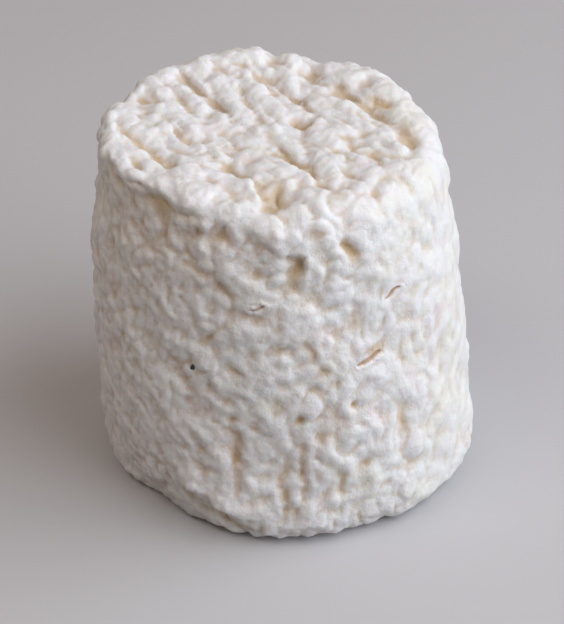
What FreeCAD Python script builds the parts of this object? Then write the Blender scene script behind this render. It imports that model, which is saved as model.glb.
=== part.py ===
"""A chabichou: a small soft goat's-milk cheese in the shape of a tapered drum.

The curd drains in a tall cup with sloping walls and is turned out, so the narrow end is up. While it
ripens the body leans and bellies a little, the skin folds into a lip round the top, long slanting
creases form across it, and the side puckers into blunt pebbles. The cheese is whole, so it is one solid.

Units are millimetres. +Z is up, the origin is the middle of the flat base, and angles are in degrees
from +X towards +Y. The front of the cheese faces -Y.
"""

import math
import os
import random

import FreeCAD
import Part

# Driving dimensions
BASE_RADIUS = 30.8
TOP_RADIUS = 26.9
HEIGHT = 57.3
BELLY = 1.2              # how far the side swells past a straight taper
LEAN_X = -3.6            # how far the top stands off the middle of the base
LEAN_Y = 2.2
TOP_SLOPE_Y = 0.045      # the top falls towards the front
DISH_DEPTH = 0.9         # the middle of the top, below its lip
NAVEL_RADIUS = 1.2       # the small level spot that closes the top

# The cage of poles that the skin hangs on
POLES_AROUND = 180
FOOT_ROWS = 6
SIDE_ROWS = 44
SHOULDER_ROWS = 8
TOP_ROWS = 26
DEGREE = 3

# Places on the rim: angle, half width in degrees, how far it stands out, how far it stands up
RIM_FEATURES = [
    (180, 16, -0.8, 0.3),    # pinched corner
    (156, 9, -1.9, -0.6),    # step behind that corner
    (104, 14, 0.8, 0.4),     # high back
    (87, 4, -0.5, -1.0),     # notch in the back
    (71, 5, -1.0, -1.0),     # dip beside it
    (48, 14, 0.2, 0.0),      # full back right
    (18, 18, -1.2, -0.5),    # slack right
    (-20, 18, 0.2, -0.8),    # low front right
    (-130, 16, -0.9, 0.4),   # drawn in at the front left
]
# The puckered skin: rounded swellings that part along sharp creases
PUCKER_WAVES = 26        # slow waves that cross to make the swellings
PUCKER_LENGTH = 7.6      # twice the usual width of a swelling
PUCKER_SPREAD = 0.35     # how far the waves' lengths differ, as a share
PUCKER_SEED = 14
SIDE_HEIGHT = 0.7       # how far a swelling stands over its creases
TOP_HEIGHT = 0.95
FOLD_WAY = -59           # the way that the long swellings of the top run, and how drawn out they are
FOLD_STRETCH = 2.1
# Single deep creases across the top: x and y of both ends, half width, depth
TOP_CREASES = [
    (-27.5, 3.5, -18.5, -9.5, 1.2, 1.0),     # inside the pinched lip
    (-18.5, 19.0, -10.5, 7.5, 1.0, 0.8),     # long, at the back left
    (-24.0, 9.5, -15.0, -2.5, 1.1, 0.5),
    (-4.5, -1.0, 4.5, -13.5, 1.0, 0.9),      # the longest, down the middle
    (-10.0, -8.5, -5.0, -15.5, 1.1, 0.7),
    (-5.0, -15.5, -3.5, -22.5, 1.2, 0.8),    # runs on over the front
    (2.5, 20.5, 13.5, 7.5, 1.3, 0.9),        # inside the right lip
    (13.5, 7.5, 18.0, -2.0, 1.5, 0.8),
    (8.5, -0.5, 13.5, -8.5, 1.1, 0.6),
    (-3.5, 19.0, 3.0, 9.0, 1.0, 0.6),
]
# Broad swells and hollows of the side: angle and height of the middle, half width, half height, depth
SIDE_FOLDS = [
    (-161, 45.0, 6, 3.2, 1.3),       # knob at the left
    (-140, 50.0, 32, 3.4, -1.0),     # hollow under the pinched lip
    (-119, 10.0, 6, 1.9, 0.8),       # roll above the foot, high end
    (-109, 7.5, 9, 1.9, 1.1),        # and low end
    (-133, 0.0, 20, 7.0, -2.7),      # base drawn in at the front left
    (-158, 1.5, 6, 2.5, 0.6),        # corner beside it
    (-88, 51.5, 4, 4.0, 0.8),        # fold running down from the top
    (0, 24.0, 26, 16.0, -1.1),       # flat right
    (-72, 0.0, 14, 5.0, -0.7),
    (188, 48.0, 24, 10.0, -0.5),     # flat left
    (100, 32.0, 24, 10.0, -0.5),
    (150, 20.0, 18, 8.0, 0.4),
]
# Pits and upright creases of the side, in the same terms
SIDE_HOLLOWS = [
    (-83, 48.0, 2.2, 1.9, -1.0),     # pit beside the fold
    (-66, 50.5, 2.2, 1.7, -0.8),
    (-73, 36.0, 4.0, 1.6, -0.8),
    (-53, 19.0, 2.0, 3.2, -0.8),
    (-90.5, 12.0, 1.9, 7.5, -0.7),   # the long upright crease over the foot
    (-104, 16.0, 1.9, 7.0, -0.7),
    (-83.5, 13.0, 1.9, 5.0, -0.5),
    (-97, 9.0, 1.9, 4.0, -0.4),
    (-68, 12.5, 1.9, 4.0, -0.6),
    (-60, 9.0, 1.9, 4.0, -0.4),
]

# Slow ripples that keep every side uneven: waves round the cheese, waves up it, phase, height
RIPPLES = [
    (3, 0.7, 40, 0.22),
    (5, 1.6, 200, 0.18),
    (9, 3.1, 95, 0.14),
    (14, 5.2, 310, 0.10),
]


def turned(angle, middle):
    """The angle past middle, in degrees from -180 to 180."""
    return (angle - middle + 180) % 360 - 180


def hump(distance, half_width):
    """A smooth hump, 1 in its middle and near 0 at twice its half width."""
    return math.exp(-((distance / half_width) ** 2))


def crossing_waves():
    """Slow waves that run every way: how fast each turns along x, y and z, and where it starts."""
    dice = random.Random(PUCKER_SEED)
    waves = []
    for _ in range(PUCKER_WAVES):
        rise = dice.uniform(-1, 1)
        turn = dice.uniform(0, 2 * math.pi)
        rate = 2 * math.pi / (PUCKER_LENGTH * dice.uniform(1 - PUCKER_SPREAD, 1 + PUCKER_SPREAD))
        level = math.sqrt(1 - rise * rise)
        waves.append((rate * level * math.cos(turn), rate * level * math.sin(turn), rate * rise,
                      dice.uniform(0, 2 * math.pi)))
    return waves


def puckers(x, y, z):
    """The skin's swellings at a point, from 0 in a crease to 1 on the fullest of them."""
    height = sum(math.cos(rate_x * x + rate_y * y + rate_z * z + start) for rate_x, rate_y, rate_z, start in WAVES)
    return math.tanh(1.1 * abs(height) / math.sqrt(PUCKER_WAVES / 2))


def rim_shift(angle):
    """How far the rim stands out, and up, at an angle."""
    out = up = 0.0
    for middle, half_width, stands_out, stands_up in RIM_FEATURES:
        share = hump(turned(angle, middle), half_width)
        out += share * stands_out
        up += share * stands_up
    return out, up


def pinch(angle):
    """1 where the lip is folded sharp, at the left, falling to 0 at the right."""
    return hump(turned(angle, -165), 62)


def shoulder_radius(angle):
    """The rounding between side and top: tight at the pinched lip, soft on the right."""
    return 4.9 - 2.8 * pinch(angle)


def top_relief(x, y):
    """The height of the long swellings over the top, less its deep creases."""
    way = math.radians(FOLD_WAY)
    along = x * math.cos(way) + y * math.sin(way)
    across = y * math.cos(way) - x * math.sin(way)
    relief = TOP_HEIGHT * (puckers(across, along / FOLD_STRETCH, HEIGHT) - 0.6)
    for x0, y0, x1, y1, half_width, deepest in TOP_CREASES:
        along_x, along_y = x1 - x0, y1 - y0
        share = ((x - x0) * along_x + (y - y0) * along_y) / (along_x**2 + along_y**2)
        share = min(1.0, max(0.0, share))
        away = math.hypot(x - x0 - share * along_x, y - y0 - share * along_y)
        relief -= deepest * hump(away, half_width)
    return relief


def pebbles(angle, height):
    """The height of the pebbled skin on the side."""
    point = on_skin(angle, BASE_RADIUS, height)
    return SIDE_HEIGHT * (puckers(point.x, point.y, point.z) - 0.6)


def side_radius(angle, height):
    """The radius of the side, about the leaning middle line."""
    share = height / HEIGHT
    radius = BASE_RADIUS + (TOP_RADIUS - BASE_RADIUS) * share + 4 * BELLY * share * (1 - share)
    radius += rim_shift(angle)[0] * share**3
    for middle, level, half_width, half_height, outward in SIDE_FOLDS + SIDE_HOLLOWS:
        radius += outward * hump(turned(angle, middle), half_width) * hump(height - level, half_height)
    for around, upward, phase, size in RIPPLES:
        radius += size * math.sin(math.radians(around * angle + phase) + 2 * math.pi * upward * share)
    return radius


def foot_radius(angle):
    """The rounding between side and base: sharper at the front left."""
    return 4.4 - 2.0 * hump(turned(angle, -140), 22)


def on_skin(angle, radius, height):
    """A point of the skin from its angle, its radius about the leaning middle line, and its height."""
    lean = max(0.0, height) / HEIGHT
    turn = math.radians(angle)
    x = radius * math.cos(turn) + LEAN_X * lean
    y = radius * math.sin(turn) + LEAN_Y * lean
    return FreeCAD.Vector(x, y, height)


def column(angle):
    """The poles of one upright section: round the foot, up the side, over the lip and in to the navel."""
    poles = []
    foot = foot_radius(angle)
    foot_middle = side_radius(angle, foot) - foot
    for row in range(FOOT_ROWS):
        turn = math.radians(-90 + 90 * row / FOOT_ROWS)
        poles.append(on_skin(angle, foot_middle + foot * math.cos(turn), foot + foot * math.sin(turn)))

    shoulder = shoulder_radius(angle)
    out, up = rim_shift(angle)
    crest_radius = TOP_RADIUS + out - shoulder
    crest = HEIGHT + up + 0.7 * pinch(angle) + TOP_SLOPE_Y * crest_radius * math.sin(math.radians(angle))
    side_top = crest - shoulder
    for row in range(SIDE_ROWS):
        height = foot + (side_top - foot) * row / SIDE_ROWS
        swell = min(1.0, row / 3) * pebbles(angle, height)
        poles.append(on_skin(angle, side_radius(angle, height) + swell, height))

    middle = side_radius(angle, side_top) - shoulder
    for row in range(SHOULDER_ROWS):
        tilt = math.radians(90 * row / SHOULDER_ROWS)
        swell = math.cos(tilt) * pebbles(angle, side_top)
        point = on_skin(angle, middle + (shoulder + swell) * math.cos(tilt), side_top + shoulder * math.sin(tilt))
        point.z += math.sin(tilt) * top_relief(point.x, point.y)
        poles.append(point)

    dish_floor = HEIGHT - DISH_DEPTH
    for row in range(TOP_ROWS + 1):
        share = row / TOP_ROWS
        radius = middle + (NAVEL_RADIUS - middle) * share
        level = crest + (dish_floor - crest) * (1 - (1 - share) ** 2.2)
        point = on_skin(angle, radius, level)
        point.z += (1 - hump(1 - share, 0.15)) * top_relief(point.x, point.y)
        if row >= TOP_ROWS - 1:
            point.z = dish_floor
        poles.append(point)
    return poles


def skin_surface():
    """The whole skin but its base and navel, as one surface that closes on itself round the cheese."""
    step = 360 / POLES_AROUND
    cage = [column(step * number) for number in range(POLES_AROUND)]
    spans = len(cage[0]) - DEGREE
    surface = Part.BSplineSurface()
    surface.buildFromPolesMultsKnots(
        cage,
        [1] * (POLES_AROUND + 1),
        [DEGREE + 1] + [1] * (spans - 1) + [DEGREE + 1],
        list(range(POLES_AROUND + 1)),
        list(range(spans + 1)),
        True,
        False,
        DEGREE,
        DEGREE,
    )
    return surface


def cheese():
    """The skin closed by its flat base and navel into one solid."""
    skin = Part.Face(skin_surface())
    rims = [edge for edge in skin.Edges if edge.isClosed() and not edge.isSeam(skin)]
    ends = [Part.Face(Part.Wire([edge])) for edge in rims]
    shell = Part.makeShell([skin] + ends)
    shell.sewShape()
    solid = Part.makeSolid(shell)
    if solid.Volume < 0:
        solid.reverse()
    return solid


os.makedirs("parts", exist_ok=True)
WAVES = crossing_waves()
body = cheese()
body.exportStep("parts/cheese.step")
box = body.BoundBox
print(f"cheese: valid {body.isValid()}, {body.Volume / 1000:.1f} cm3, "
      f"x {box.XMin:.2f} to {box.XMax:.2f}, y {box.YMin:.2f} to {box.YMax:.2f}, z {box.ZMin:.2f} to {box.ZMax:.2f}")
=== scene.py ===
"""A chabichou dressed: the wrinkled rind of a small ripened goat's-milk cheese.

The cheese is one piece, so the dressed cheese is one skin that takes the place of the solid one. It
stands on its wide end and its front faces -Y. Blender works in metres, and the shapes of the rind are
worked out in millimetres.
"""

import math

import bpy
import numpy as np
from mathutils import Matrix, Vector


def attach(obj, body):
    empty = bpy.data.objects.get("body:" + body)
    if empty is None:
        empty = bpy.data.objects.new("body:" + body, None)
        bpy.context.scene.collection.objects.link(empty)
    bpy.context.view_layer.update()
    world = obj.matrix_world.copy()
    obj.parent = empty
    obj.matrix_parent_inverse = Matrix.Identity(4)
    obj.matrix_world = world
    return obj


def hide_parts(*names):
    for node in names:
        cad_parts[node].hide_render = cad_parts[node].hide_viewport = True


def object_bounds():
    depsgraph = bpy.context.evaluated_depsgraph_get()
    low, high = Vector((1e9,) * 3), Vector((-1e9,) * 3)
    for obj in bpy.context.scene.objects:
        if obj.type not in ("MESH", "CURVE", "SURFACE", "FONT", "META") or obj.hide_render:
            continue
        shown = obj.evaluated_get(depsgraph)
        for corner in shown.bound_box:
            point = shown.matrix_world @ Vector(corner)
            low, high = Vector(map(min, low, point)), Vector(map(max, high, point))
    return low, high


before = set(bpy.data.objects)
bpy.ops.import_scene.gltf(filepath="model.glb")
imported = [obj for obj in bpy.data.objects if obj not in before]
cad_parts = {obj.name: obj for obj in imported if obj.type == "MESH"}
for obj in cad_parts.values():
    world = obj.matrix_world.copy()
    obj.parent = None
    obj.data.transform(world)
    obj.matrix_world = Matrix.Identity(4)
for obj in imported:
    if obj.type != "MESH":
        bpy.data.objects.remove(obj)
cad_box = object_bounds()
MM = 0.001


# ---------------------------------------------------------------- the camera
# A long lens looks down on the front of the cheese from about 31 cm away, five times its width, so the
# drum tapers only slightly towards its foot. It aims just left of the middle and below it.

AIM = Vector((-1.55, 0.0, 28.5)) * MM
LOOK_DOWN = math.radians(32.8)
CAMERA_DISTANCE = 313.5 * MM
CAMERA_DROP = 3.7 * MM           # moves the view down in its own plane, so the cheese sits high
LENS = 111.9

backwards = Vector((0, -math.cos(LOOK_DOWN), math.sin(LOOK_DOWN)))
view_up = Vector((0, math.sin(LOOK_DOWN), math.cos(LOOK_DOWN)))
bpy.ops.object.select_all(action="DESELECT")
bpy.ops.object.camera_add(
    location=AIM + backwards * CAMERA_DISTANCE - view_up * CAMERA_DROP,
    rotation=(math.pi / 2 - LOOK_DOWN, 0, 0),
)
camera = bpy.context.object
camera.data.lens = LENS
camera.data.sensor_width = 36
camera.data.clip_start = 0.01
bpy.context.scene.camera = camera


# ---------------------------------------------------------------- floor and light
# A pale studio table, and a broad soft lamp to the right and a little in front, which leaves the left
# of the cheese in gentle shade. A small warm lamp high on the left and a dim, warm room fill it.

FLOOR_HALF = 1.5
FLOOR_SEEN = (0.60, 0.60, 0.61, 1)
FLOOR_BOUNCE = (0.28, 0.28, 0.28, 1)
KEY_FROM = Vector((0.57, -0.16, 0.45))
KEY_SIZE = 1.0
KEY_POWER = 6.9
KEY_COLOUR = (0.945, 1.0, 1.10)
FILL_FROM = Vector((-0.34, -0.22, 0.72))
FILL_SIZE = 0.35
FILL_POWER = 1.0
FILL_COLOUR = (1.0, 0.95, 0.90)
ROOM_LIGHT = 0.235
ROOM_COLOUR = (1.0, 0.785, 0.665, 1)


def aimed_lamp(name, where, size, power, colour):
    """A square soft lamp that looks at the middle of the cheese."""
    bpy.ops.object.select_all(action="DESELECT")
    bpy.ops.object.light_add(type="AREA", location=where)
    lamp = bpy.context.object
    lamp.name = name
    lamp.rotation_euler = (where - AIM).to_track_quat("Z", "Y").to_euler()
    lamp.data.size = size
    lamp.data.energy = power
    lamp.data.color = colour


aimed_lamp("key_lamp", KEY_FROM, KEY_SIZE, KEY_POWER, KEY_COLOUR)
aimed_lamp("fill_lamp", FILL_FROM, FILL_SIZE, FILL_POWER, FILL_COLOUR)

room = bpy.data.worlds.new("room")
bpy.context.scene.world = room
room.use_nodes = True
backdrop = room.node_tree.nodes["Background"]
backdrop.inputs["Color"].default_value = ROOM_COLOUR
backdrop.inputs["Strength"].default_value = ROOM_LIGHT


class Wire:
    """One output in a material, with the arithmetic that the finishes use."""

    def __init__(self, tree, output=None):
        self.tree = tree
        self.output = output

    def node(self, kind, settings=None, inputs=None, output=0):
        """Adds a node: first its settings, then the values or wires of its sockets."""
        made = self.tree.nodes.new(kind)
        for name, value in (settings or {}).items():
            setattr(made, name, value)
        for name, value in (inputs or {}).items():
            if isinstance(value, Wire):
                self.tree.links.new(value.output, made.inputs[name])
            else:
                made.inputs[name].default_value = value
        return Wire(self.tree, made.outputs[output])

    def maths(self, operation, other):
        return self.node("ShaderNodeMath", {"operation": operation}, {0: self, 1: other})

    def __add__(self, other):
        return self.maths("ADD", other)

    def __sub__(self, other):
        return self.maths("SUBTRACT", other)

    def __mul__(self, other):
        return self.maths("MULTIPLY", other)

    def between(self, low, high):
        """0 below low, 1 above high and smooth between."""
        return self.node(
            "ShaderNodeMapRange",
            {"interpolation_type": "SMOOTHSTEP"},
            {"Value": self, "From Min": low, "From Max": high},
        )

    def mix(self, share, one, two):
        """One colour where the share is 0 and the other where it is 1."""
        return self.node(
            "ShaderNodeMix", {"data_type": "RGBA"}, {0: share, 6: one, 7: two}, output=2
        )


def new_finish(name):
    """A material, its shader, and a wire to build the rest of its nodes from."""
    finish = bpy.data.materials.new(name)
    finish.use_nodes = True
    return finish, finish.node_tree.nodes["Principled BSDF"], Wire(finish.node_tree)


# The camera and mirror-like gloss see a paler table than the one that throws light back on the cheese
bpy.ops.object.select_all(action="DESELECT")
bpy.ops.mesh.primitive_plane_add(size=2 * FLOOR_HALF, location=(0, 0, 0))
table = bpy.context.object
table.name = "table"
table_finish, table_shader, wire = new_finish("table_finish")
seen = wire.node("ShaderNodeLightPath", output="Is Camera Ray")
seen += wire.node("ShaderNodeLightPath", output="Is Glossy Ray")
seen_colour = wire.mix(seen, FLOOR_BOUNCE, FLOOR_SEEN)
table_finish.node_tree.links.new(seen_colour.output, table_shader.inputs["Base Color"])
table_shader.inputs["Roughness"].default_value = 0.7
table.data.materials.append(table_finish)


# ---------------------------------------------------------------- the skin of the cheese
# Geotrichum skin, thin and soft, that grew over the draining curd. It is taken off the solid cheese,
# evened out into small squares, and pulled back onto the solid so that none of its folds is lost.

SQUARE = 0.445 * MM              # the mesh that the skin is made of
EASE_PASSES = 3                  # how often its points are evened out and laid back on the solid
SAME_PLACE = 1e-6                # points of the solid this close, in metres, are one point

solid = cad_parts["cheese"]
skin = solid.copy()
skin.data = solid.data.copy()
skin.name = "cheese_rind"
skin.data.name = "cheese_rind"
skin.parent = None
for mark in list(skin.keys()):
    del skin[mark]
bpy.context.scene.collection.objects.link(skin)
bpy.ops.object.select_all(action="DESELECT")
skin.select_set(True)
bpy.context.view_layer.objects.active = skin
bpy.ops.object.mode_set(mode="EDIT")
bpy.ops.mesh.select_all(action="SELECT")
bpy.ops.mesh.remove_doubles(threshold=SAME_PLACE)
bpy.ops.object.mode_set(mode="OBJECT")


def finish_with(piece, kind, settings):
    """Adds a modifier to a piece and applies it."""
    modifier = piece.modifiers.new(kind.lower(), kind)
    for name, value in settings.items():
        setattr(modifier, name, value)
    bpy.context.view_layer.objects.active = piece
    bpy.ops.object.modifier_apply(modifier=modifier.name)


finish_with(skin, "REMESH", {"mode": "VOXEL", "voxel_size": SQUARE})
for _ in range(EASE_PASSES):
    finish_with(skin, "SMOOTH", {"factor": 0.6, "iterations": 2})
    finish_with(skin, "SHRINKWRAP", {"target": solid, "wrap_method": "NEAREST_SURFACEPOINT"})

# Splits of the side: angle and height of both ends, half width, depth, how red-brown they are
SPLITS = [
    (-66.4, 31.3, -58.6, 32.5, 0.50, 0.50, 0.8),
    (-55.8, 41.0, -50.4, 42.0, 0.28, 0.40, 0.9),
    (-97.2, 41.6, -93.2, 42.8, 0.30, 0.35, 0.45),
]
SPLIT_ROOM = 1.1                 # how far from a split the squares are cut smaller
SPLIT_CUTS = 2
LEVEL_RADIUS = 30.0              # turns an angle into a distance round the side
LEAN_X, LEAN_Y = -3.6, 2.2       # how far the cheese's top stands off the middle of its base
LEAN_HEIGHT = 57.3               # the height at which it does
BASE_HEIGHT = 0.03               # points below this that face downwards are the base
FACING_DOWN = -0.8


def angles_of(places):
    """The angle of each point about the cheese's leaning middle line, places being in millimetres."""
    share = places[:, 2] / LEAN_HEIGHT
    return np.degrees(np.arctan2(places[:, 1] - LEAN_Y * share, places[:, 0] - LEAN_X * share))


def from_line(line, around, height):
    """How far points of the side lie from a line on it, and how far along it, from 0 to 1."""
    angle, level, last_angle, last_level = line[:4]
    mm_per_degree = math.radians(LEVEL_RADIUS)
    ahead, up = (last_angle - angle) * mm_per_degree, last_level - level
    right = (around - angle) * mm_per_degree
    length = np.clip((right * ahead + (height - level) * up) / (ahead**2 + up**2), 0, 1)
    return np.hypot(right - length * ahead, height - level - length * up), length


def read_points(mesh):
    """The places and the outward directions of a mesh's points, in millimetres."""
    places = np.empty(len(mesh.vertices) * 3)
    mesh.vertices.foreach_get("co", places)
    outward = np.empty(len(mesh.vertices) * 3, np.float32)
    mesh.vertex_normals.foreach_get("vector", outward)
    return places.reshape(-1, 3) / MM, outward.reshape(-1, 3).astype(float)


def write_points(mesh, places):
    """Moves a mesh's points to places given in millimetres."""
    mesh.vertices.foreach_set("co", (places * MM).ravel())
    mesh.update()


def edit_faces_within(chosen):
    """Opens the skin for editing, with only the faces selected whose points are all chosen."""
    bpy.ops.object.mode_set(mode="EDIT")
    bpy.ops.mesh.select_mode(type="FACE")
    bpy.ops.mesh.select_all(action="DESELECT")
    bpy.ops.object.mode_set(mode="OBJECT")
    wanted = [all(chosen[corner] for corner in face.vertices) for face in skin.data.polygons]
    skin.data.polygons.foreach_set("select", wanted)
    bpy.ops.object.mode_set(mode="EDIT")


def triangles_of(mesh):
    """The three corners of every triangle of the mesh."""
    mesh.calc_loop_triangles()
    corners = np.empty(len(mesh.loop_triangles) * 3, int)
    mesh.loop_triangles.foreach_get("vertices", corners)
    return corners.reshape(-1, 3)


def hump(distance, width):
    """1 at no distance, falling smoothly to 0 past about twice the width."""
    return np.exp(-((distance / width) ** 2))


def rise(value, low, high):
    """0 below low, 1 above high and smooth between."""
    share = np.clip((value - low) / (high - low), 0, 1)
    return share * share * (3 - 2 * share)


places = read_points(skin.data)[0]
around = angles_of(places)
close = np.zeros(len(places), bool)
for split in SPLITS:
    close |= from_line(split, around, places[:, 2])[0] < SPLIT_ROOM
edit_faces_within(close)
bpy.ops.mesh.subdivide(number_cuts=SPLIT_CUTS)
bpy.ops.object.mode_set(mode="OBJECT")

places, outward = read_points(skin.data)
triangles = triangles_of(skin.data)
count = len(places)
height = places[:, 2]
around = angles_of(places)
base = (height < BASE_HEIGHT) & (outward[:, 2] < FACING_DOWN)
places[base, 2] = 0


# ---------------------------------------------------------------- the puckers of the rind
# The skin goes on growing over curd that shrinks, so it buckles into blunt pebbles and worms with
# narrow creases between them. They are finest at the front left, coarsest low on the right of the
# front, and drawn out along the folds of the top.

SEED = 11
WAVE_COUNT = 80                  # crossing waves that make one random field
FOLD_WAY = math.radians(-58)     # the way that the folds of the top run
PUCKER_WIDTH = 1.75              # of the broad puckers of the side
PUCKER_STRETCH = 1.1             # how much longer than wide they are
BROAD_RISE = 0.27                # how high the puckers of each size stand
SMALL_RISE = 0.20
LOOSE_RISE = 0.12

rng = np.random.default_rng(SEED)


def waves(length, spread):
    """A smooth random field over the skin, of about this wave length in millimetres."""
    ways = rng.normal(size=(WAVE_COUNT, 3))
    ways /= np.linalg.norm(ways, axis=1)[:, None]
    numbers = 2 * np.pi / (length * (1 + spread * rng.uniform(-1, 1, WAVE_COUNT)))
    starts = rng.uniform(0, 2 * np.pi, WAVE_COUNT)
    return np.cos(places @ (ways * numbers[:, None]).T + starts).sum(1) * math.sqrt(2 / WAVE_COUNT)


def turned(angle, middle):
    """How far an angle is from a middle one, in degrees."""
    return np.abs((angle - middle + 180) % 360 - 180)


on_top = rise(outward[:, 2], 0.5, 0.9) * rise(height, 40, 50)
fold_direction = np.array([math.cos(FOLD_WAY), math.sin(FOLD_WAY), 0])
along = np.where(on_top[:, None] > 0.5, fold_direction, np.array([0, 0, 1.0]))
along = along - outward * (along * outward).sum(1)[:, None]
along /= np.maximum(np.linalg.norm(along, axis=1), 1e-6)[:, None]
fine_patch = hump(turned(around, -138), 40) * hump(height - 33, 22)
coarse_patch = hump(turned(around, -60), 38) * hump(height - 16, 18)
stretch = PUCKER_STRETCH + 0.9 * on_top + 0.3 * coarse_patch - 0.4 * fine_patch
pucker_width = PUCKER_WIDTH - 0.1 * on_top - 0.4 * fine_patch + 0.5 * coarse_patch

# Each triangle is measured in puckers instead of millimetres: lengths are shortened along the way
# that the puckers run, and divided by their width. In that measure one even law shapes them all:
# each point has its share of the skin's area, and each edge the grip of its two ends on each other.
run = along[triangles].mean(1)
run /= np.maximum(np.linalg.norm(run, axis=1), 1e-6)[:, None]
shorter = 1 - 1 / stretch[triangles].mean(1)
puckers_per_mm = np.pi / pucker_width[triangles].mean(1)
sides = []
for corner in range(3):
    side = places[triangles[:, (corner + 2) % 3]] - places[triangles[:, (corner + 1) % 3]]
    side -= run * ((side * run).sum(1) * shorter)[:, None]
    sides.append(side * puckers_per_mm[:, None])
areas = np.linalg.norm(np.cross(sides[0], sides[1]), axis=1) / 2
areas = np.maximum(areas, np.median(areas) * 0.2)
area_share = np.bincount(triangles.ravel(), np.repeat(areas / 3, 3), minlength=count)
area_share = np.maximum(area_share, np.median(area_share) * 0.5)
ends, grips = [], []
for corner in range(3):
    opposite = -(sides[(corner + 1) % 3] * sides[(corner + 2) % 3]).sum(1) / (4 * areas)
    ends.append(triangles[:, [(corner + 1) % 3, (corner + 2) % 3]])
    grips.append(np.clip(opposite, -0.2, 1.5))
ends = np.sort(np.concatenate(ends), axis=1)
edge, which = np.unique(ends[:, 0] * count + ends[:, 1], return_inverse=True)
grip = np.bincount(which, np.concatenate(grips))
here, there = edge // count, edge % count
pull = np.bincount(here, grip, count) + np.bincount(there, grip, count)
stiffest = (2 * pull / area_share).max()


def passed_on(field):
    """One turn of the sieve below: each point pulls on its neighbours."""
    lift = grip * (field[there] - field[here])
    gained = np.bincount(here, lift, minlength=count) - np.bincount(there, lift, minlength=count)
    return -2 / stiffest * gained / area_share - field


def sifted(field, size, band, order):
    """What is left of a field when only waves of a size, in puckers, may stay."""
    sieve = np.polynomial.chebyshev.chebinterpolate(
        lambda x: np.exp(-((((x + 1) * stiffest / 2 * size**2 - 1) / band) ** 2)), order
    )
    earlier, later = field, passed_on(field)
    kept = sieve[0] * earlier + sieve[1] * later
    for part in sieve[2:]:
        earlier, later = later, 2 * passed_on(later) - earlier
        kept += part * later
    return kept / kept.std()


broad = sifted(waves(5.0, 0.5) + waves(3.6, 0.5) + waves(7.5, 0.4), 1.0, 0.9, 50)
small = sifted(waves(2.6, 0.5) + waves(1.9, 0.4) + waves(3.6, 0.4), 0.5, 0.9, 40)
loose = sifted(waves(3.6, 0.5) + waves(2.6, 0.5) + waves(5.0, 0.4), 0.7, 0.9, 40)
patchy = waves(14, 0.3)
lively = np.clip(1 + 0.4 * patchy, 0.4, 1.7)


def domes(field, fullness):
    """Rounded domes between the soft creases where a field crosses nought."""
    return np.tanh(fullness * (np.sqrt(field**2 + 0.03) - 0.17))


# The right of the side is the smoothest, and the puckers fade out at the edge of the base
right_patch = hump(turned(around, -15), 52) * (1 - on_top) * rise(height, 0, 9)
strength = 0.95 - 0.18 * on_top - 0.60 * right_patch
broad_rise = BROAD_RISE + 0.02 * on_top + 0.08 * coarse_patch
relief = broad_rise * lively * (domes(broad, 0.9) - 0.5)
relief += (SMALL_RISE + 0.08 * on_top) * (domes(small, 0.9) - 0.5)
relief += LOOSE_RISE * loose
relief *= rise(height, -0.3, 1.5) * strength


# ---------------------------------------------------------------- single hollows, folds and splits
# Draining left pits and upright creases in the side, and long folds across the top. In each table a
# depth below nought is a bump, and the stain says how ochre the place is.

# Hollows of the side: angle and height of the middle, half width, half height, depth, stain
HOLLOWS = [
    (-83.2, 47.2, 1.0, 2.2, 0.35, 0.85),
    (-65.4, 49.8, 0.85, 2.0, 0.3, 0.8),
    (-75.6, 53.4, 1.1, 1.1, 0.4, 0.55),
    # Colour alone, no dent: painted shade under the lip at the front left, over some brown of the rind
    (-129.7, 54.2, 1.9, 1.4, 0.0, 1.2),
    (-80.6, 34.6, 0.7, 2.0, 0.35, 0.6),
    (-78.3, 31.2, 1.0, 0.9, 0.35, 0.5),
    (-59.6, 33.0, 1.1, 0.9, 0.15, 0.9),
    (-66.5, 38.0, 0.8, 1.3, 0.35, 0.5),
    (-70.0, 36.0, 1.5, 1.3, -0.4, 0.0),
    (-79.7, 48.0, 0.55, 2.1, -0.7, 0.0),
    (-82.4, 50.6, 1.6, 0.5, -0.5, 0.0),
    (-176.0, 38.0, 1.6, 1.7, -0.8, 0.3),
    (-52.4, 18.8, 0.7, 2.4, 0.15, 0.8),
    (-78.8, 19.7, 1.2, 1.1, 0.5, 0.6),
    (-68.8, 24.7, 0.5, 0.5, 0.5, 1.0),
    (-85.0, 23.4, 0.8, 1.0, 0.5, 0.6),
    (-66.6, 13.4, 0.8, 0.9, 0.6, 0.3),
    (-85.2, 13.2, 0.55, 5.5, 0.5, 0.3),
    (-83.0, 13.2, 0.6, 5.5, -0.3, 0.0),
    (-91.6, 9.7, 0.55, 4.2, 0.45, 0.3),
    (-104.3, 15.0, 0.7, 6.0, 0.45, 0.4),
    (-74.5, 10.6, 0.6, 2.6, 0.5, 0.3),
    (-69.0, 3.2, 0.5, 1.3, 0.6, 0.5),
    (-77.0, 3.4, 0.5, 1.2, 0.5, 0.4),
    (-57.0, 3.2, 0.5, 1.3, 0.5, 0.5),
    (-109.0, 3.6, 0.6, 1.2, 0.6, 0.5),
    (-99.5, 3.0, 0.5, 1.2, 0.5, 0.4),
]
# Folds and creases of the side along a bent line: its angles and heights, half width, depth, stain
BENT_LINES = [
    ([(-154.0, 55.2), (-130.0, 54.8), (-117.0, 54.0), (-106.0, 52.8)], 2.0, 1.0, 0.15),
    ([(-119.0, 10.2), (-108.0, 7.6), (-101.0, 5.4)], 0.9, -0.5, 0.0),
    ([(-121.0, 6.8), (-109.0, 4.2), (-103.0, 2.4)], 1.3, 0.8, 0.2),
    ([(-117.6, 46.7), (-106.0, 45.0), (-102.0, 42.3), (-103.3, 39.0), (-112.8, 35.3)], 0.7, 0.22, 0.25),
]
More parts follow.
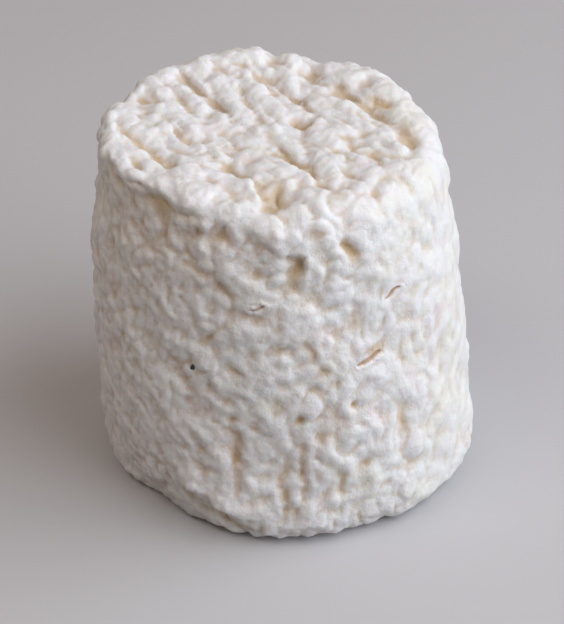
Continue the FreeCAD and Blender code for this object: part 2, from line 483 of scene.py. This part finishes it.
# Hollows of the top: x and y of the middle, half width, half length, turn, depth, stain
TOP_HOLLOWS = [
    (-2.3, -18.0, 1.6, 3.4, -88, 1.5, 1.2),
    (-20.6, -7.8, 0.8, 2.4, -60, 0.45, 1.0),
    (-24.5, -1.5, 0.5, 6.0, -56, 0.45, 0.3),
    (-23.6, -9.8, 0.5, 3.6, -62, 0.5, 0.2),
    (-23.5, 11.2, 0.9, 1.7, -56, 0.5, 0.5),
    (-24.4, 5.2, 0.8, 1.6, -30, 0.4, 0.5),
    (1.1, 4.5, 1.5, 1.6, -61, 2.2, 1.3),
    (6.4, -18.7, 0.8, 1.4, -75, 0.4, 0.7),
    (-2.7, 2.1, 1.4, 1.5, -61, -0.6, 0.0),
    (13.7, 10.7, 0.9, 2.6, -55, 0.5, 1.0),
    (9.5, 13.4, 0.6, 5.0, -56, 0.5, 0.4),
    (18.0, 1.4, 1.1, 2.0, -75, 0.5, 0.8),
    (10.1, 6.4, 0.8, 1.6, -40, 0.4, 0.6),
    (6.6, -5.0, 0.8, 1.0, -60, 0.5, 0.4),
    (-4.5, 5.4, 0.6, 2.2, -60, 0.4, 0.6),
    (12.3, -6.8, 0.8, 1.8, -57, 0.5, 0.7),
    (-17.2, 0.7, 0.45, 4.4, -66, 0.6, 0.3),
    (-14.5, 14.3, 0.45, 7.0, -56, 0.6, 0.3),
    (-9.3, 4.8, 0.45, 4.2, -71, 0.5, 0.3),
    (-5.5, 18.5, 0.45, 4.2, -53, 0.5, 0.3),
    (1.9, 10.7, 0.45, 3.6, -50, 0.5, 0.3),
    (-0.5, -5.7, 0.45, 5.4, -57, 0.6, 0.4),
    (3.3, -12.8, 0.45, 3.4, -70, 0.6, 0.4),
    (-7.4, -11.8, 0.45, 4.4, -52, 0.6, 0.4),
    (-3.9, -21.5, 0.5, 3.5, -80, 0.4, 0.3),
    (-5.4, -17.5, 0.8, 6.5, -72, -0.5, 0.0),
    (12.8, 22.4, 0.5, 0.5, 0, -0.8, 0.0),
]
# Long creases that cross the whole top side by side: how far off the middle each lies, and its depth
FOLD_LINES = [
    (-17.6, 0.15), (-13.6, 0.25), (-9.2, 0.20), (-4.6, 0.30),
    (1.0, 0.20), (6.5, 0.30), (10.6, 0.15), (14.8, 0.25),
]
CREASE_HALF_WIDTH = 0.42
TOP_HEIGHTS = (46, 50)           # the hollows of the top fade out down the side between these
SPECK_ANGLE, SPECK_HEIGHT = -116.7, 30.7
LIP_RISE = 0.04                  # how far the lips of a split stand up

across_top = places[:, 1] * math.cos(FOLD_WAY) - places[:, 0] * math.sin(FOLD_WAY)
stray = waves(11, 0.3)
fitful = np.clip(0.8 + 0.6 * waves(8, 0.3), 0, 1.5)
stain_and_painted_shading = np.zeros(count)
astray = 0.28 * waves(5, 0.4)
uneven = np.clip(0.95 + 0.25 * waves(4, 0.4), 0.3, 1.4)
radius = np.hypot(places[:, 0], places[:, 1])
on_side = rise(-outward[:, 2], -0.75, -0.45)
wandering = 0.12 * waves(3, 0.4)

for angle, level, half_width, half_height, depth, colour in HOLLOWS:
    sideways = ((around - angle + 180) % 360 - 180) * math.pi / 180 * radius + astray
    pit = hump(np.hypot(sideways / half_width, (height - level) / half_height), 1.0) * on_side
    relief -= depth * pit * uneven
    stain_and_painted_shading = np.maximum(stain_and_painted_shading, colour * pit)

for bends, half_width, depth, colour in BENT_LINES:
    lines = [(*first, *second) for first, second in zip(bends, bends[1:])]
    away = np.min([from_line(line, around, height + astray)[0] for line in lines], axis=0)
    pit = hump(away, half_width) * on_side
    relief -= depth * pit * uneven
    stain_and_painted_shading = np.maximum(stain_and_painted_shading, colour * pit)

for middle_x, middle_y, half_width, half_length, turn, depth, colour in TOP_HOLLOWS:
    aside, ahead = places[:, 0] - middle_x, places[:, 1] - middle_y
    cosine, sine = math.cos(math.radians(turn)), math.sin(math.radians(turn))
    lengthwise = (aside * cosine + ahead * sine) / half_length
    crosswise = (ahead * cosine - aside * sine + astray) / half_width
    pit = hump(np.hypot(lengthwise, crosswise), 1.0) * rise(height, *TOP_HEIGHTS)
    relief -= depth * pit * uneven
    stain_and_painted_shading = np.maximum(stain_and_painted_shading, colour * pit)

for offset, depth in FOLD_LINES:
    beside = across_top - offset - 0.4 * stray
    crease = hump(beside, CREASE_HALF_WIDTH) * on_top * fitful
    relief -= depth * crease
    relief += 0.3 * depth * hump(beside - 1.2, 0.7) * on_top

# Painted shade browns the rind under the lip at the front left, and painted light makes the back left
# of the top paler
painted_lip_shade = hump(turned(around, -137), 28) * hump(height - 50, 7) * (1 - on_top)
painted_top_light = hump(np.hypot(places[:, 0] + 12, places[:, 1] - 12), 15) * on_top
stain_and_painted_shading += 0.2 * painted_lip_shade - 0.4 * painted_top_light

slit = np.zeros(count)
for split in SPLITS:
    half_width, depth, brown = split[4:]
    away, length = from_line(split, around, height + wandering)
    gap = hump(away, half_width * (0.5 + np.sin(np.pi * length)) / 1.5)
    relief -= depth * gap
    relief += LIP_RISE * hump(away - 0.60, 0.35)
    slit = np.maximum(slit, brown * rise(gap, 0.25, 0.75))

from_speck = turned(around, SPECK_ANGLE) * math.radians(LEVEL_RADIUS)
speck_point = np.hypot(from_speck, height - SPECK_HEIGHT).argmin()

# The puckers are held within the box of the solid cheese, so that both have the same outer sizes
low, high = np.array(cad_box[0]) / MM, np.array(cad_box[1]) / MM
places += outward * relief[:, None] * np.where(base, 0, 1)[:, None]
places = np.clip(places, low, high)
write_points(skin.data, places)


# ---------------------------------------------------------------- what the colour follows
# The bottom of a crease is coloured ivory and ochre, partly the rind's own tint and partly painted
# crease shade, while the tops of the pebbles keep the plain white. Each point keeps how deep it lies,
# near and far, and the material reads that.

NEAR_ROUNDS = 12                 # how often the skin is evened out to tell the depth of small creases
FAR_ROUNDS = 60                  # and of broad ones
FAN_RADIUS = 24                  # the middle of the base, in millimetres

joined = np.bincount(here, minlength=count) + np.bincount(there, minlength=count)


def blurred(field, rounds):
    """A field evened out over its neighbours."""
    for _ in range(rounds):
        total = np.bincount(here, field[there], count) + np.bincount(there, field[here], count)
        field = 0.5 * field + 0.5 * total / joined
    return field


def sink(rounds):
    """How far each point lies below the evened-out skin."""
    even = np.stack([blurred(places[:, axis], rounds) for axis in range(3)], 1)
    return ((even - places) * outward).sum(1)


outward = read_points(skin.data)[1]
near_sink = sink(NEAR_ROUNDS)
far_sink = sink(FAR_ROUNDS)


def keep_field(name, field):
    """Stores a number for each point of the skin, for the material to read."""
    layer = skin.data.attributes.new(name, "FLOAT", "POINT")
    layer.data.foreach_set("value", field.astype(np.float32))


keep_field("near_sink", near_sink)
keep_field("far_sink", far_sink)
# Besides the real stains, this field holds painted shade under the front-left lip and painted light on
# the back left of the top
keep_field("stain_and_painted_shading", stain_and_painted_shading)
keep_field("slit", slit)

# The base is flat, so one fan of faces is enough for the middle of it
edit_faces_within(base & (np.hypot(places[:, 0], places[:, 1]) < FAN_RADIUS))
bpy.ops.mesh.dissolve_faces()
bpy.ops.mesh.poke()
bpy.ops.object.mode_set(mode="OBJECT")
bpy.ops.object.shade_smooth()


# ---------------------------------------------------------------- the finish of the rind
# A dry, velvety white skin with a soft gloss, which light enters a little way. Ivory and ochre fill
# its creases, partly its own tint and partly painted crease shade; faint blush and straw patches lie
# over it, and the torn curd of the splits is brown.

rind, shader, start = new_finish("rind_finish")
place = start.node("ShaderNodeTexCoord", output="Object")


def noise(size_mm, detail, roughness=0.5):
    """Cloudy noise whose blotches are about this wide."""
    return start.node(
        "ShaderNodeTexNoise",
        {"noise_dimensions": "3D"},
        {"Vector": place, "Scale": 1 / (size_mm * MM), "Detail": detail, "Roughness": roughness},
        output="Fac",
    )


def kept_field(name):
    """One of the numbers that the skin's points keep."""
    return start.node("ShaderNodeAttribute", {"attribute_name": name}, output="Fac")


near = kept_field("near_sink")
far = kept_field("far_sink")
stained_and_shaded = kept_field("stain_and_painted_shading")
torn = kept_field("slit")

# The ivory and ochre below colour the creases by how deep they lie: partly the rind's own tint and
# partly painted crease shade
WHITE = (0.870, 0.876, 0.872, 1)
IVORY_AND_CREASE_SHADE = (0.765, 0.70, 0.615, 1)
BLUSH = (0.76, 0.57, 0.52, 1)
STRAW = (0.80, 0.785, 0.56, 1)
OCHRE_STAIN_AND_SHADE = (0.64, 0.49, 0.30, 1)
SPLIT_BROWN = (0.54, 0.35, 0.20, 1)
SPECK_DARK = (0.05, 0.06, 0.07, 1)

speck_at = tuple(places[speck_point] * MM)
blotch = noise(9, 2)
speckle = noise(1.6, 3)
# Painted crease shade, partly the rind's ivory tint: the deeper a point lies, the more ivory it turns
crease_tint_and_shade = near * 2.4 + far * 1.2 + stained_and_shaded * 0.8 + (blotch - 0.5) * 1.0 + (speckle - 0.5) * 0.5
crease_tint_and_shade = crease_tint_and_shade.between(-0.25, 0.75)
# Painted shade in the deepest creases, partly the rind's ochre
deep_crease_ochre_and_shade = (near * 1.4 + far * 1.4 + (speckle - 0.5) * 0.5 + (blotch - 0.5) * 1.0).between(0.45, 1.1)
blushing = (noise(6, 3) - 0.5 + near * 0.4 + (speckle - 0.5) * 0.3).between(0.0, 0.35)
to_the_right = place.node("ShaderNodeSeparateXYZ", inputs={0: place}) * (1 / (24 * MM))
yellowed = (noise(7, 2) - 0.5 + to_the_right * 0.15 + near * 0.2).between(0.0, 0.4)
tint = start.mix(crease_tint_and_shade, WHITE, IVORY_AND_CREASE_SHADE)
tint = start.mix(yellowed * 0.30, tint, STRAW)
tint = start.mix(blushing * 0.40, tint, BLUSH)
# Ochre on the stains, and painted shade in the deepest creases and under the lip at the front left
tint = start.mix(deep_crease_ochre_and_shade * 0.6 + stained_and_shaded * 0.75, tint, OCHRE_STAIN_AND_SHADE)
tint = start.mix(torn, tint, SPLIT_BROWN)
speck = place.node("ShaderNodeVectorMath", {"operation": "SUBTRACT"}, {0: place, 1: speck_at})
speck = speck.node("ShaderNodeVectorMath", {"operation": "LENGTH"}, {0: speck}, output="Value")
speck = (speck + (noise(0.5, 1) - 0.5) * 0.3 * MM).between(0.55 * MM, 0.30 * MM)
tint = start.mix(speck, tint, SPECK_DARK)
rind.node_tree.links.new(tint.output, shader.inputs["Base Color"])

fine = noise(0.9, 3, 0.6)
grain = noise(0.25, 2, 0.6)
bump = start.node(
    "ShaderNodeBump",
    inputs={"Height": fine * 0.8 + grain * 0.2, "Strength": 1.0, "Distance": 0.22 * MM},
)
rind.node_tree.links.new(bump.output, shader.inputs["Normal"])
shader.inputs["Roughness"].default_value = 0.62
shader.inputs["Specular IOR Level"].default_value = 0.35
shader.inputs["Subsurface Weight"].default_value = 0.45
shader.inputs["Subsurface Radius"].default_value = (1.0, 0.72, 0.48)
shader.inputs["Subsurface Scale"].default_value = 0.6 * MM
shader.inputs["Sheen Weight"].default_value = 0.1
shader.inputs["Sheen Roughness"].default_value = 0.5
skin.data.materials.clear()
skin.data.materials.append(rind)
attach(skin, "root")
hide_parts("cheese")


# ---------------------------------------------------------------- view
# Colours are shown as they are written.

bpy.context.scene.view_settings.view_transform = "Standard"
